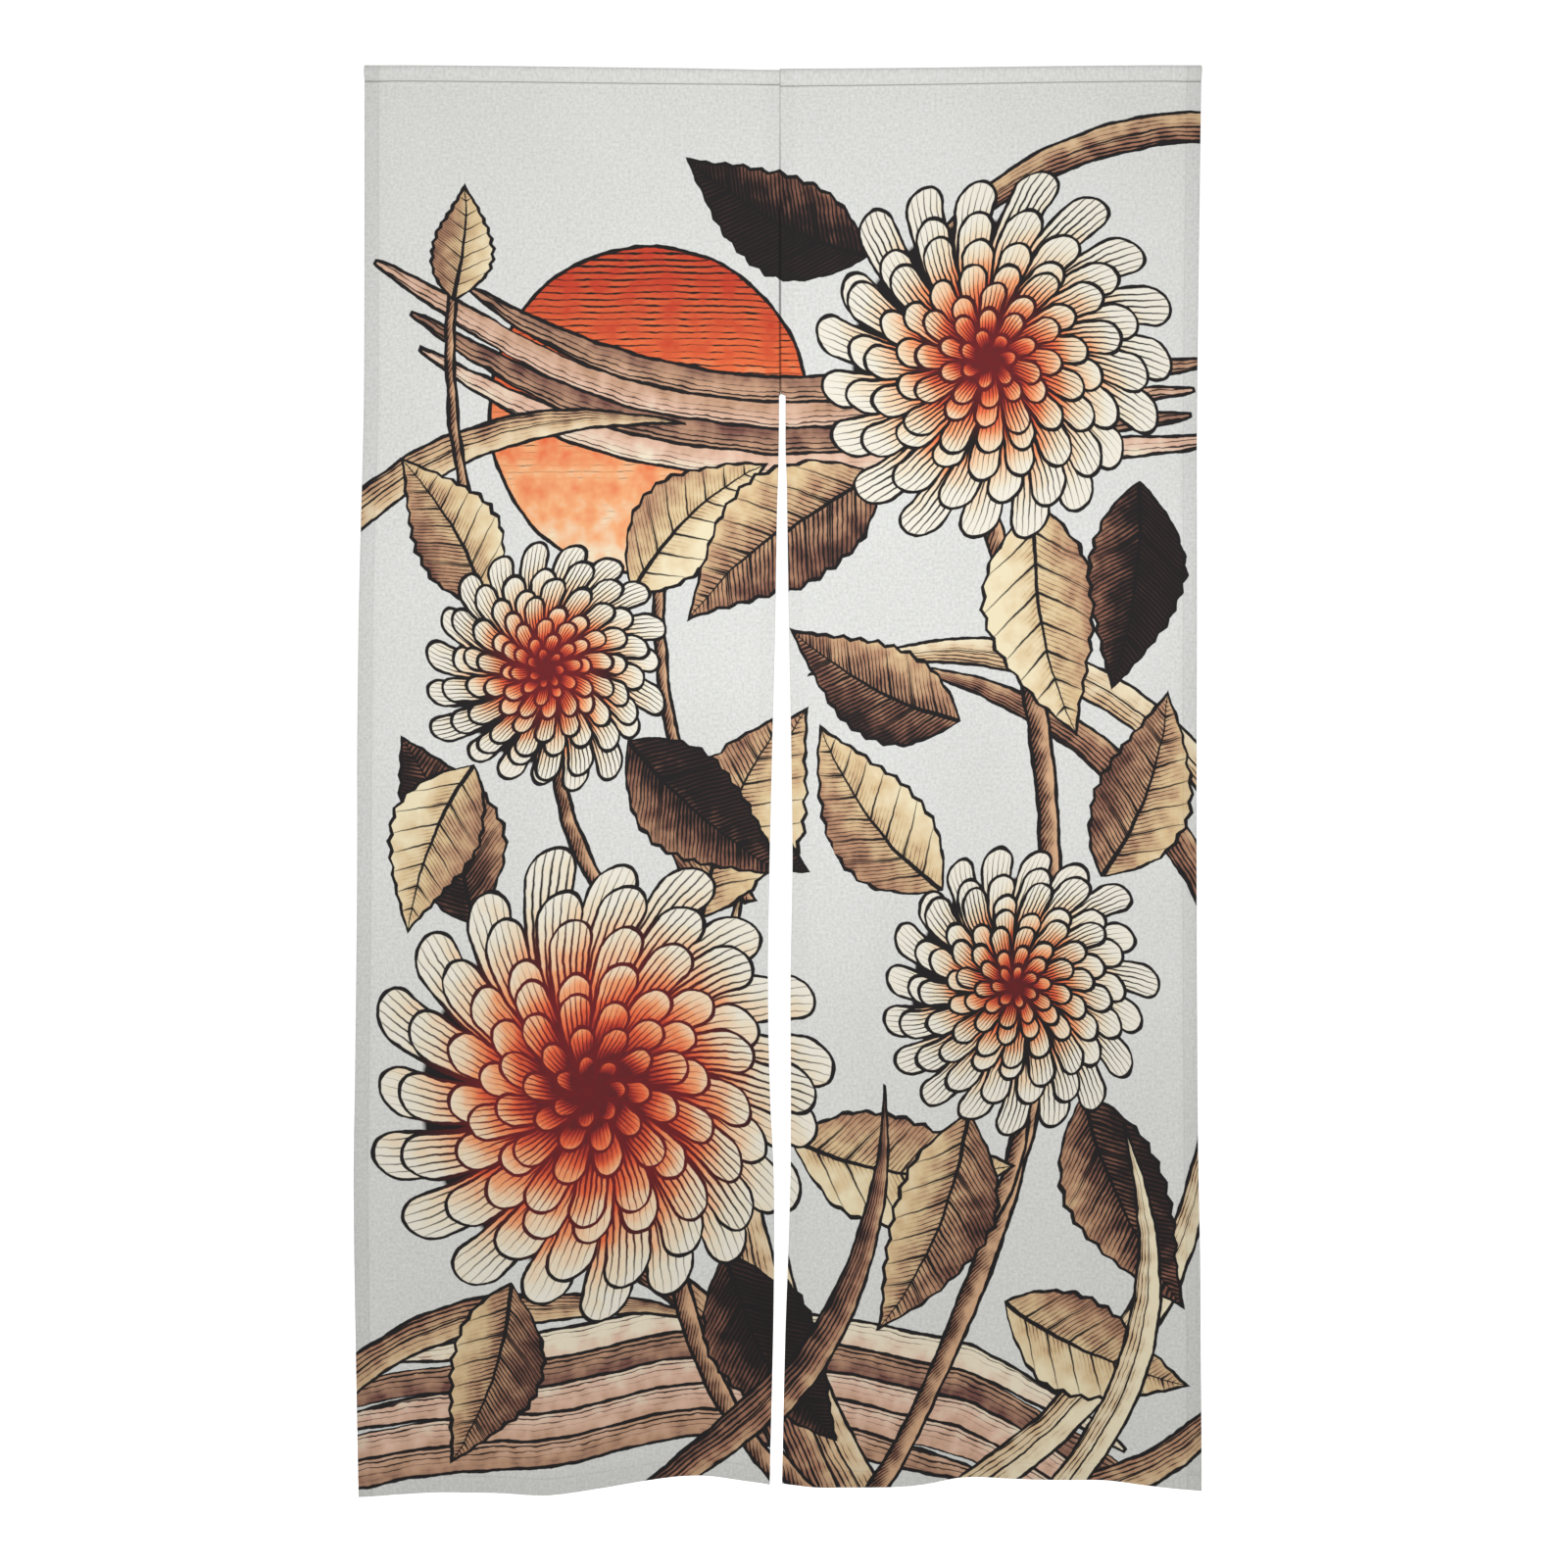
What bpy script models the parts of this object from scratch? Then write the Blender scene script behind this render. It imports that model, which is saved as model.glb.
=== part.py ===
"""Noren: a split doorway curtain of two hemmed panels, hung from the rod sleeve along its top.

Metres, +Z up. The origin is the middle of the sleeve's tunnel, where a rod would run. +X is to
the right of someone who faces the printed side, and the printed side faces -Y.
"""

import math
from collections import namedtuple

import bmesh
import bpy

# The sheet and what is sewn in it
CLOTH_THICKNESS = 0.0012
SEWN_GAP = 0.0003  # clear space between two pieces that are sewn edge to edge
SLEEVE_HEIGHT = 0.015  # from the top fold down to the stitch line
SLEEVE_TOP_RADIUS = 0.005  # the fold that goes over the rod
SLEEVE_FOOT_RADIUS = 0.003  # the narrower end, where the two layers meet
SLEEVE_WALL = 0.001
TOP_SAG = 0.0034  # how much lower the top edge is in the middle than at its ends
TOP_HALF_WIDTH = 0.421
FULL_DROP = 1.43  # from the top fold to the bottom edge, on the whole

# How finely the hung cloth is faceted
PANEL_COLUMNS = 20
PANEL_ROWS = 32
SLEEVE_SECTIONS = 8
SLEEVE_SIDES = 14

TOP_OF_ENDS = SLEEVE_HEIGHT / 2 + TOP_SAG  # Z of the top fold at its two ends

# The side edges at each level: the level's drop below the top fold, the X of the outer edges, and
# the middle and width of the slit between the panels. Down to SEAM_LENGTH the slit is sewn shut.
SEAM_LENGTH = 0.331
Level = namedtuple("Level", "drop left_outer slit_middle slit_width right_outer")
LEVELS = (
    Level(0.000, -0.4202, -0.0025, 0.0000, 0.4212),
    Level(0.331, -0.4205, -0.0022, 0.0000, 0.4167),
    Level(0.336, -0.4205, -0.0002, 0.0056, 0.4167),
    Level(0.350, -0.4207, -0.0002, 0.0063, 0.4165),
    Level(0.410, -0.4219, -0.0002, 0.0080, 0.4161),
    Level(0.447, -0.4228, -0.0004, 0.0099, 0.4161),
    Level(0.565, -0.4252, -0.0005, 0.0136, 0.4157),
    Level(0.684, -0.4261, -0.0008, 0.0188, 0.4150),
    Level(0.802, -0.4257, -0.0015, 0.0227, 0.4146),
    Level(0.920, -0.4264, -0.0033, 0.0226, 0.4144),
    Level(1.038, -0.4277, -0.0021, 0.0207, 0.4148),
    Level(1.112, -0.4287, -0.0005, 0.0168, 0.4156),
    Level(1.186, -0.4281, -0.0012, 0.0141, 0.4172),
    Level(1.275, -0.4267, -0.0033, 0.0118, 0.4178),
    Level(1.435, -0.4238, -0.0070, 0.0122, 0.4189),
)

# The bottom edge: a place across the panel, 0 at its left edge and 1 at its right, and its drop.
HemPoint = namedtuple("HemPoint", "across drop")
LEFT_HEM = (
    HemPoint(0.00, 1.4356),
    HemPoint(0.10, 1.4338),
    HemPoint(0.24, 1.4352),
    HemPoint(0.35, 1.4336),
    HemPoint(0.46, 1.4342),
    HemPoint(0.60, 1.4292),
    HemPoint(0.69, 1.4246),
    HemPoint(0.79, 1.4226),
    HemPoint(0.88, 1.4236),
    HemPoint(1.00, 1.4290),
)
RIGHT_HEM = (
    HemPoint(0.00, 1.4258),
    HemPoint(0.07, 1.4278),
    HemPoint(0.15, 1.4278),
    HemPoint(0.27, 1.4293),
    HemPoint(0.35, 1.4280),
    HemPoint(0.43, 1.4240),
    HemPoint(0.55, 1.4241),
    HemPoint(0.70, 1.4212),
    HemPoint(0.77, 1.4214),
    HemPoint(0.87, 1.4254),
    HemPoint(1.00, 1.4291),
)

# The hanging folds of each panel. A fold is a soft ridge where forward is positive and a trough
# where it is negative. It grows from the drop where it begins to the drop where it is full, and
# runs on down to the hem, which it meets at `across`. `lean` is how far across its top lies from
# there, and `width` is the distance across at which it has faded to about a third.
Fold = namedtuple("Fold", "across lean width forward begins full")
LEFT_FOLDS = (
    Fold(0.00, 0.04, 0.17, 0.016, 0.10, 1.20),
    Fold(0.21, 0.06, 0.09, -0.005, 0.55, 1.30),
    Fold(0.44, 0.10, 0.14, 0.013, 0.25, 1.10),
    Fold(0.83, -0.08, 0.12, -0.018, 0.36, 1.25),
    Fold(1.00, 0.00, 0.07, -0.004, 0.60, 1.40),
)
RIGHT_FOLDS = (
    Fold(0.13, 0.06, 0.11, 0.009, 0.40, 1.15),
    Fold(0.47, 0.10, 0.13, -0.016, 0.30, 1.20),
    Fold(0.71, -0.05, 0.08, 0.004, 0.70, 1.30),
    Fold(1.00, -0.05, 0.17, 0.016, 0.15, 1.15),
)

Panel = namedtuple("Panel", "edges hem folds")
PANELS = {
    "left": Panel(("left_outer", "left_slit"), LEFT_HEM, LEFT_FOLDS),
    "right": Panel(("right_slit", "right_outer"), RIGHT_HEM, RIGHT_FOLDS),
}

LINEN_COLOUR = (0.68, 0.67, 0.64)
SLEEVE_COLOUR = (0.72, 0.71, 0.69)


def clear_scene():
    for obj in list(bpy.data.objects):
        bpy.data.objects.remove(obj, do_unlink=True)


def smooth_column(rows, key, column, at):
    """The value of `column` where `key` is `at`, on a smooth curve through the table's rows."""
    keys = [getattr(row, key) for row in rows]
    values = [getattr(row, column) for row in rows]
    at = min(max(at, keys[0]), keys[-1])
    last = len(keys) - 1
    i = max(n for n in range(last) if keys[n] <= at)

    def slope(n):
        before, after = max(n - 1, 0), min(n + 1, last)
        return (values[after] - values[before]) / (keys[after] - keys[before])

    span = keys[i + 1] - keys[i]
    s = (at - keys[i]) / span
    rise = s * s * (3 - 2 * s)
    start_swing = s * (1 - s) ** 2 * span * slope(i)
    end_swing = s * s * (1 - s) * span * slope(i + 1)
    return values[i] + rise * (values[i + 1] - values[i]) + start_swing - end_swing


def ease(value):
    value = min(max(value, 0.0), 1.0)
    return value * value * (3 - 2 * value)


def sleeve_lift(x):
    """How far the sleeve stands above its lowest place, the middle: it rises to both ends."""
    return TOP_SAG * (1 - math.cos(math.pi * min(abs(x) / TOP_HALF_WIDTH, 1.0))) / 2


def edge_x(edge, drop):
    """X of a side edge at that drop: left_outer, left_slit, right_slit or right_outer."""
    if edge.endswith("outer"):
        return smooth_column(LEVELS, "drop", edge, drop)
    middle = smooth_column(LEVELS, "drop", "slit_middle", drop)
    width = smooth_column(LEVELS, "drop", "slit_width", drop) if drop > SEAM_LENGTH else 0.0
    half = (max(width, 0.0) + SEWN_GAP) / 2
    return middle + half if edge == "right_slit" else middle - half


def across_panel(panel, across, drop):
    """X at that share of the way from the panel's left edge to its right edge."""
    left, right = (edge_x(edge, drop) for edge in panel.edges)
    return left + (right - left) * across


def fold_depth(panel, across, drop):
    """How far forward the cloth stands there, the sum of the panel's folds."""
    depth = 0.0
    for fold in panel.folds:
        grown = ease((drop - fold.begins) / (fold.full - fold.begins))
        centre = fold.across + fold.lean * (1 - drop / FULL_DROP)
        depth += fold.forward * grown * math.exp(-(((across - centre) / fold.width) ** 2))
    return depth


def hung_point(panel, across, down):
    """A point of the hung panel: `across` and `down` both run from 0 to 1."""
    top_x = across_panel(panel, across, SLEEVE_HEIGHT)
    top_z = sleeve_lift(top_x) - SLEEVE_HEIGHT / 2 - SEWN_GAP
    hem_drop = smooth_column(panel.hem, "across", "drop", across)
    z = top_z + (TOP_OF_ENDS - hem_drop - top_z) * down
    drop = TOP_OF_ENDS - z
    x = across_panel(panel, across, drop)
    return x, -fold_depth(panel, across, drop), z


def cloth_material(name, colour):
    material = bpy.data.materials.new(name)
    material.use_nodes = True
    shader = material.node_tree.nodes["Principled BSDF"]
    shader.inputs["Base Color"].default_value = (*colour, 1.0)
    shader.inputs["Roughness"].default_value = 0.9
    shader.inputs["Metallic"].default_value = 0.0
    return material


def add_sheet(name, bm, thickness, offset, material, collection):
    """An object from the bmesh, an open surface that Solidify gives its thickness."""
    mesh = bpy.data.meshes.new(name)
    bm.to_mesh(mesh)
    bm.free()
    mesh.materials.append(material)
    mesh.shade_smooth()
    obj = bpy.data.objects.new(name, mesh)
    collection.objects.link(obj)
    solidify = obj.modifiers.new("Thickness", "SOLIDIFY")
    solidify.thickness = thickness
    solidify.offset = offset
    return obj


def build_panel(name, panel, material, collection):
    bm = bmesh.new()
    bmesh.ops.create_grid(bm, x_segments=PANEL_COLUMNS, y_segments=PANEL_ROWS, size=0.5)
    for vert in bm.verts:
        vert.co = hung_point(panel, vert.co.x + 0.5, 0.5 - vert.co.y)
    return add_sheet(name, bm, CLOTH_THICKNESS, 0.0, material, collection)


def sleeve_outline(angle):
    """(Y, Z) on the sleeve's outer face where it faces `angle`, counted from straight up."""
    top_centre = SLEEVE_HEIGHT / 2 - SLEEVE_TOP_RADIUS
    foot_centre = SLEEVE_FOOT_RADIUS - SLEEVE_HEIGHT / 2
    narrowing = (SLEEVE_TOP_RADIUS - SLEEVE_FOOT_RADIUS) / (top_centre - foot_centre)
    over_rod = math.cos(angle) > -narrowing
    radius = SLEEVE_TOP_RADIUS if over_rod else SLEEVE_FOOT_RADIUS
    centre = top_centre if over_rod else foot_centre
    return radius * math.sin(angle), centre + radius * math.cos(angle)


def build_sleeve(name, panel, material, collection):
    """The loop of cloth over one panel, an open tube along X that follows the top edge's sag."""
    start = across_panel(panel, 0.0, 0.0)
    end = across_panel(panel, 1.0, 0.0)
    bm = bmesh.new()
    ring = bmesh.ops.create_circle(bm, segments=SLEEVE_SIDES, radius=1.0)["verts"]
    for vert in ring:
        y, z = sleeve_outline(math.atan2(vert.co.x, vert.co.y))
        vert.co = (start, y, z + sleeve_lift(start))
    edges = list(bm.edges)
    here = start
    for section in range(1, SLEEVE_SECTIONS + 1):
        there = start + (end - start) * section / SLEEVE_SECTIONS
        made = bmesh.ops.extrude_edge_only(bm, edges=edges)["geom"]
        verts = [g for g in made if isinstance(g, bmesh.types.BMVert)]
        edges = [g for g in made if isinstance(g, bmesh.types.BMEdge)]
        step = (there - here, 0.0, sleeve_lift(there) - sleeve_lift(here))
        bmesh.ops.translate(bm, verts=verts, vec=step)
        here = there
    bmesh.ops.recalc_face_normals(bm, faces=bm.faces)
    return add_sheet(name, bm, SLEEVE_WALL, -1.0, material, collection)


def build_noren():
    collection = bpy.data.collections.new("Noren")
    bpy.context.scene.collection.children.link(collection)
    linen = cloth_material("Printed linen", LINEN_COLOUR)
    plain = cloth_material("Plain linen", SLEEVE_COLOUR)
    for side, panel in PANELS.items():
        build_panel(f"{side}_panel", panel, linen, collection)
        build_sleeve(f"{side}_sleeve", panel, plain, collection)


clear_scene()
build_noren()
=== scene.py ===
import math
import random
from collections import namedtuple
from functools import partial

import bmesh
import bpy
import numpy as np
from mathutils import Matrix, Vector


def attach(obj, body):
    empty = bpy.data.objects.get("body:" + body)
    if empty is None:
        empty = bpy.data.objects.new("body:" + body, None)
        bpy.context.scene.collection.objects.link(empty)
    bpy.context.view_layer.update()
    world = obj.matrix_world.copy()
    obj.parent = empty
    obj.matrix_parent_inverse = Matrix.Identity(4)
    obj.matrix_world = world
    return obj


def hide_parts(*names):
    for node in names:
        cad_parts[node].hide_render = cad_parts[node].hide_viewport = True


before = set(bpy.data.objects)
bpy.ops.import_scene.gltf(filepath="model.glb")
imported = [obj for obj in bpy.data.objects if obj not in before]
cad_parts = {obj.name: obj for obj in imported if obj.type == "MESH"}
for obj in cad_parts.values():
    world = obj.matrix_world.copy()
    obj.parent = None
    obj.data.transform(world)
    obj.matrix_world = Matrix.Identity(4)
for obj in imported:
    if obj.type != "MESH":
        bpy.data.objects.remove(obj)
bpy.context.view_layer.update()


def rows(kind, table):
    return [kind(*row) for row in table]


def meshOf(name, bm):
    mesh = bpy.data.meshes.new(name)
    bm.to_mesh(mesh)
    bm.free()
    return mesh


def placed(name, data):  # a new object in the scene
    obj = bpy.data.objects.new(name, data)
    bpy.context.scene.collection.objects.link(obj)
    return obj


def modified(obj):  # the mesh that its modifier makes of it, in its place
    bpy.context.view_layer.update()
    mesh = bpy.data.meshes.new_from_object(obj.evaluated_get(bpy.context.evaluated_depsgraph_get()))
    bpy.data.objects.remove(obj)
    return mesh


# ---- how the noren hangs: the same shape as its solids

cloth = {
    "width": 0.43,  # one panel, flat, between its side folds
    "length": 1.43,  # flat, from the top fold to the bottom fold
    "thickness": 0.0007,
    "layer": 0.00095,  # from one layer of a hem to the next
    "sideHem": 0.0145,  # stitch line, in from the fold
    "bottomHem": 0.0165,
    "hemTurn": 0.002,  # raw edge, past the stitch line
    "seamEnd": 0.3287,  # the slit starts here, measured along the cloth
    "seamGap": 0.0003,  # between the panels where they are sewn together
    "cell": 0.0046,  # size of the mesh squares
}
sleeve = {
    "height": 0.015,  # top fold to stitch line
    "bulge": 0.0057,
    "turn": 0.0045,  # raw edge behind, below the stitch line
    "sag": 0.0034,  # middle lower than the ends
    "dip": 0.0009,  # and all of it lower than its solids
    "pull": 0.0013,  # the left panel's fold is lower again beside the seam
    "pullReach": 0.065,
    "slack": 0.0014,  # the right panel's stitch line is lower beside the seam
    "slackReach": 0.25,
    "slackDown": 0.05,  # the cloth below makes up for it over this drop
    "halfWidth": 0.421,
    "steps": 11,  # rows of mesh, from the fold to the stitch line
}
seamLength = 0.331  # sewn shut down to this drop
topOfEnds = sleeve["height"] / 2 + sleeve["sag"]

Level = namedtuple("Level", "drop leftOuter slitMiddle slitWidth rightOuter")
levels = rows(Level, [
    (0.0, -0.4202, -0.0025, 0.0, 0.4212), (0.331, -0.4205, -0.0022, 0.0, 0.4167),
    (0.41, -0.4219, -0.0002, 0.008, 0.4161), (0.447, -0.4228, -0.0004, 0.0099, 0.4161),
    (0.565, -0.4252, -0.0005, 0.0136, 0.4157), (0.684, -0.4261, -0.0008, 0.0188, 0.415),
    (0.802, -0.4257, -0.0015, 0.0227, 0.4146), (0.92, -0.4264, -0.0033, 0.0226, 0.4144),
    (1.038, -0.4277, -0.0021, 0.0207, 0.4148), (1.112, -0.4287, -0.0005, 0.0168, 0.4156),
    (1.186, -0.4281, -0.0012, 0.0141, 0.4172), (1.275, -0.4267, -0.0033, 0.0118, 0.4178),
    (1.435, -0.4238, -0.007, 0.0122, 0.4189),
])
slit = {  # just below the seam its hems are folded further in, so it opens almost at once
    "left": 0.00145,
    "right": 0.00555,
    "opens": 0.001,  # drop over which it opens
    "calm": 0.079,  # drop at which the hems lie as in the levels again
    "reach": 0.013,
}
HemPoint = namedtuple("HemPoint", "across drop")
leftHem = rows(HemPoint, [
    (0.0, 1.4356), (0.1, 1.4338), (0.24, 1.4352), (0.35, 1.4336), (0.46, 1.4342), (0.6, 1.4292),
    (0.69, 1.4246), (0.79, 1.4226), (0.88, 1.4236), (1.0, 1.429),
])
rightHem = rows(HemPoint, [
    (0.0, 1.4258), (0.07, 1.4278), (0.15, 1.4278), (0.27, 1.4293), (0.35, 1.428), (0.43, 1.424),
    (0.55, 1.4241), (0.7, 1.4212), (0.77, 1.4214), (0.87, 1.4254), (1.0, 1.4291),
])
Fold = namedtuple("Fold", "across lean width forward begins full")
leftFolds = rows(Fold, [
    (0.0, 0.04, 0.17, 0.016, 0.1, 1.2), (0.21, 0.06, 0.09, -0.005, 0.55, 1.3),
    (0.44, 0.1, 0.14, 0.013, 0.25, 1.1), (0.83, -0.08, 0.12, -0.018, 0.36, 1.25),
    (1.0, 0.0, 0.07, -0.004, 0.6, 1.4),
])
rightFolds = rows(Fold, [
    (0.13, 0.06, 0.11, 0.009, 0.4, 1.15), (0.47, 0.1, 0.13, -0.016, 0.3, 1.2),
    (0.71, -0.05, 0.08, 0.004, 0.7, 1.3), (1.0, -0.05, 0.17, 0.016, 0.15, 1.15),
])
Ripple = namedtuple("Ripple", "wave lean height begins full")  # slight unevenness of the hung cloth
ripples = [
    Ripple(0.151, 0.1, 0.0005, 0.05, 0.6),
    Ripple(0.083, -0.22, 0.00028, 0.02, 0.5),
    Ripple(0.047, 0.35, 0.00013, 0.2, 1.0),
]
Panel = namedtuple("Panel", "side edges hem folds printStart")
panels = [
    Panel("left", ("leftOuter", "leftSlit"), leftHem, leftFolds, -cloth["width"]),
    Panel("right", ("rightSlit", "rightOuter"), rightHem, rightFolds, 0.0),
]


def alongTable(table, key, column, at):  # a smooth curve through its rows
    keys = np.array([getattr(row, key) for row in table])
    values = np.array([getattr(row, column) for row in table])
    rise = np.diff(values, prepend=values[0], append=values[-1])
    run = np.diff(keys, prepend=keys[0], append=keys[-1])
    slopes = (rise[1:] + rise[:-1]) / (run[1:] + run[:-1])
    at = np.clip(at, keys[0], keys[-1])
    i = np.clip(np.searchsorted(keys, at, side="right") - 1, 0, len(keys) - 2)
    span = keys[i + 1] - keys[i]
    s = (at - keys[i]) / span
    swing = s * (1 - s) ** 2 * slopes[i] - s * s * (1 - s) * slopes[i + 1]
    return values[i] + s * s * (3 - 2 * s) * (values[i + 1] - values[i]) + span * swing


def ease(value):
    value = np.clip(value, 0, 1)
    return value * value * (3 - 2 * value)


def grown(row, at):  # 0 where a fold or ripple begins, 1 where it is full
    return ease((at - row.begins) / (row.full - row.begins))


def bell(away, reach):
    return np.exp(-((away / reach) ** 2))


def edgeX(edge, drop):  # of the cloth's middle, half its thickness in from its seen edge
    inset = cloth["thickness"] / 2
    if edge.endswith("Outer"):
        return alongTable(levels, "drop", edge, drop) + (inset if edge == "leftOuter" else -inset)
    width = np.where(drop > seamLength, alongTable(levels, "drop", "slitWidth", drop), 0)
    half = (width + cloth["seamGap"]) / 2 + inset * ease((drop - seamLength) / slit["calm"])
    middle = alongTable(levels, "drop", "slitMiddle", drop)
    return middle + half if edge == "rightSlit" else middle - half


def acrossPanel(panel, across, drop):
    left, right = (edgeX(edge, drop) for edge in panel.edges)
    return left + (right - left) * across


def besideSlit(panel, a, b):  # the place along the cloth, for one that far from the slit's fold
    below = b - cloth["seamEnd"]
    more = slit[panel.side] * ease(below / slit["opens"]) * (1 - ease(below / slit["calm"]))
    if panel.side == "left":
        return a - more * bell(cloth["width"] - a, slit["reach"])
    return a + more * bell(a, slit["reach"])


def foldDepth(panel, across, drop):  # how far forward the cloth stands
    depth = np.zeros_like(drop)
    for fold in panel.folds:
        centre = fold.across + fold.lean * (1 - drop / cloth["length"])
        depth += fold.forward * grown(fold, drop) * bell(across - centre, fold.width)
    return depth


def unevenness(panel, a, b):
    height = np.zeros_like(a)
    chance = random.Random(panel.side)
    for ripple in ripples:
        turn = 2 * math.pi * (a / ripple.wave + ripple.lean * b / ripple.wave)
        height += ripple.height * grown(ripple, b) * np.sin(turn + chance.uniform(0, 6))
    return height


def hungSurface(panel, a, b):
    # a: along from the panel's left fold. b: down from the top fold, less than 0 behind it
    across = a / cloth["width"]
    topX = acrossPanel(panel, across, np.full_like(a, sleeve["height"]))
    lift = sleeve["sag"] * (1 - np.cos(np.pi * np.minimum(np.abs(topX) / sleeve["halfWidth"], 1))) / 2
    lift -= sleeve["dip"]
    below = np.maximum(np.abs(b) - sleeve["height"], 0)
    pull = sleeve["pull"] * bell(topX, sleeve["pullReach"]) * (panel.side == "left")
    slack = sleeve["slack"] * bell(topX, sleeve["slackReach"]) * (panel.side == "right")
    foldZ = lift + sleeve["height"] / 2 - pull
    topZ = lift - sleeve["height"] / 2 - slack
    hemZ = topOfEnds - alongTable(panel.hem, "across", "drop", across)
    turn = np.pi * np.clip(np.abs(b) / sleeve["height"], 0, 1)
    sleeveZ = (foldZ + topZ + np.cos(turn) * (foldZ - topZ)) / 2
    frontZ = topZ + slack * (1 - bell(below, sleeve["slackDown"]))
    frontZ += (hemZ - topZ - slack) * below / (cloth["length"] - sleeve["height"])
    z = np.where(below == 0, sleeveZ, np.where(b > 0, frontZ, topZ - below))
    drop = topOfEnds - z
    x = acrossPanel(panel, across, drop)
    bulge = sleeve["bulge"] * np.sin(turn) * np.cos(turn / 2)
    forward = np.where(b > 0, foldDepth(panel, across, drop) + unevenness(panel, a, b), 0)
    y = np.where(b > 0, -bulge, bulge) - forward
    return np.stack([x, y, z], axis=-1)


def backward(panel, a, b):  # the unit normal towards the back of the cloth
    step = 0.0004
    alongA = hungSurface(panel, a + step, b) - hungSurface(panel, a - step, b)
    alongB = hungSurface(panel, a, b + step) - hungSurface(panel, a, b - step)
    normal = np.cross(alongA, alongB)
    return normal / np.linalg.norm(normal, axis=-1, keepdims=True)


def roundFold(beyond, radius):  # how far in from the fold, how deep, and how much is turned over
    turn = np.minimum(np.abs(beyond) / radius, np.pi / 2)
    straight = np.maximum(np.abs(beyond) - radius * np.pi / 2, 0)
    over = np.sign(beyond) * np.sin(turn)
    return radius * (1 - np.cos(turn)) + straight, radius * (1 - over), over


hemShape = {  # what the sewing does to the hems' layers
    "corner": 0.02,  # how far in the layers of a corner are felt
    "groove": 0.0017,  # half its width, along a stitch line
    "pressed": 0.35,  # the share of the layers' depth that it takes
    "sunk": 0.00042,  # and how far it goes into the printed side
    "pucker": 0.00022,
    "sideReach": 0.016,  # how far in from the folds the puckers go
    "bottomReach": 0.018,
    "sideWaves": (410, 61),  # radians to a metre: puckers, their unevenness
    "bottomWaves": (380, 83),
}


def puckers(along, waves):  # from -1 to 1
    return np.sin(along * waves[0] + 2 * np.sin(along * waves[1]))


def clothPoints(panel, a, b, proud=0.0):  # the layers of the hems and sleeve, folded into place
    fromSide = np.where(a < cloth["width"] / 2, a, cloth["width"] - a)
    inSide, sideDepth, _ = roundFold(fromSide, cloth["layer"] / 2)
    flatA = np.where(a < cloth["width"] / 2, inSide, cloth["width"] - inSide)
    bulk = 1 - ease((inSide - cloth["sideHem"]) / hemShape["corner"])  # the corners hold two more layers
    layers = cloth["layer"] * (1 + 2 * bulk)
    inBottom, bottomDepth, over = roundFold(cloth["length"] - b, layers / 2)
    flatB = np.where(b > 0, cloth["length"] - inBottom, b)
    depth = bottomDepth + sideDepth * over
    behind = ease(-b / sleeve["height"]) * layers * (b < 0)  # the sleeve's back layer
    fromSideLine = np.where(flatB < 0, cloth["width"], np.abs(inSide - cloth["sideHem"]))
    fromLine = np.minimum(np.abs(inBottom - cloth["bottomHem"]), np.abs(np.abs(b) - sleeve["height"]))
    sewn = bell(np.minimum(fromSideLine, fromLine), hemShape["groove"])
    nearHem = bell(inSide, hemShape["sideReach"]) + bell(inBottom, hemShape["bottomReach"])
    waves = np.where(inSide < inBottom, puckers(flatB, hemShape["sideWaves"]),
                     puckers(flatA, hemShape["bottomWaves"]))
    depth = depth * (1 - hemShape["pressed"] * sewn) + hemShape["sunk"] * sewn * (over > 0)
    depth += hemShape["pucker"] * nearHem * waves - proud
    flatA = besideSlit(panel, flatA, flatB)
    points = hungSurface(panel, flatA, flatB) + backward(panel, flatA, flatB) * depth[..., None]
    points[..., 1] += behind
    return points


def stepped(start, stop, step):
    count = max(1, round(abs(stop - start) / step))
    return [start + (stop - start) * n / count for n in range(count)]


extra = {  # more rows of points, this far from a fold, a stitch line or the slit's top
    "sideFoldBack": (0.0145, 0.0115, 0.008, 0.0045, 0.0022, 0.0012, 0.00065, 0.0003),
    "sideFold": (0.0, 0.0003, 0.00065, 0.0012, 0.0024, 0.005, 0.0085, 0.0115),
    "sideLine": (-0.0015, -0.0007, 0.0, 0.0007, 0.0015),
    "sleeveBack": 0.002,
    "sleeveLine": (0.0, 0.0006, 0.0013, 0.0024, 0.0045),
    "slitTop": (-0.0014, 0.0, 0.0005, 0.001, 0.0022),
    "bottomLine": (-0.003, -0.0014, -0.0007, 0.0, 0.0007, 0.0015),
    "bottomFold": (0.012, 0.0085, 0.005, 0.003, 0.002, 0.0012, 0.0006, 0.0),
    "bottomFoldBack": (0.0006, 0.0012, 0.002, 0.003, 0.005, 0.0085, 0.012),
    "bottomLineBack": (-0.001, 0.0, cloth["hemTurn"]),
    "hem": 0.0035,  # the even squares start this far from a hem's stitch line
    "sleeve": 0.0075,
    "clear": 0.7,  # and leave this share of a square free at the slit's top
}


def positionsAcross():
    width, line, clear = cloth["width"], cloth["sideHem"], extra["hem"]
    edge = [-line - cloth["hemTurn"]] + [-n for n in extra["sideFoldBack"]]
    edge += [*extra["sideFold"]] + [line + n for n in extra["sideLine"]]
    inner = stepped(line + clear, width - line - clear, cloth["cell"])
    return np.array(edge + inner + [width - n for n in reversed(edge + inner[:1])])


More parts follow.
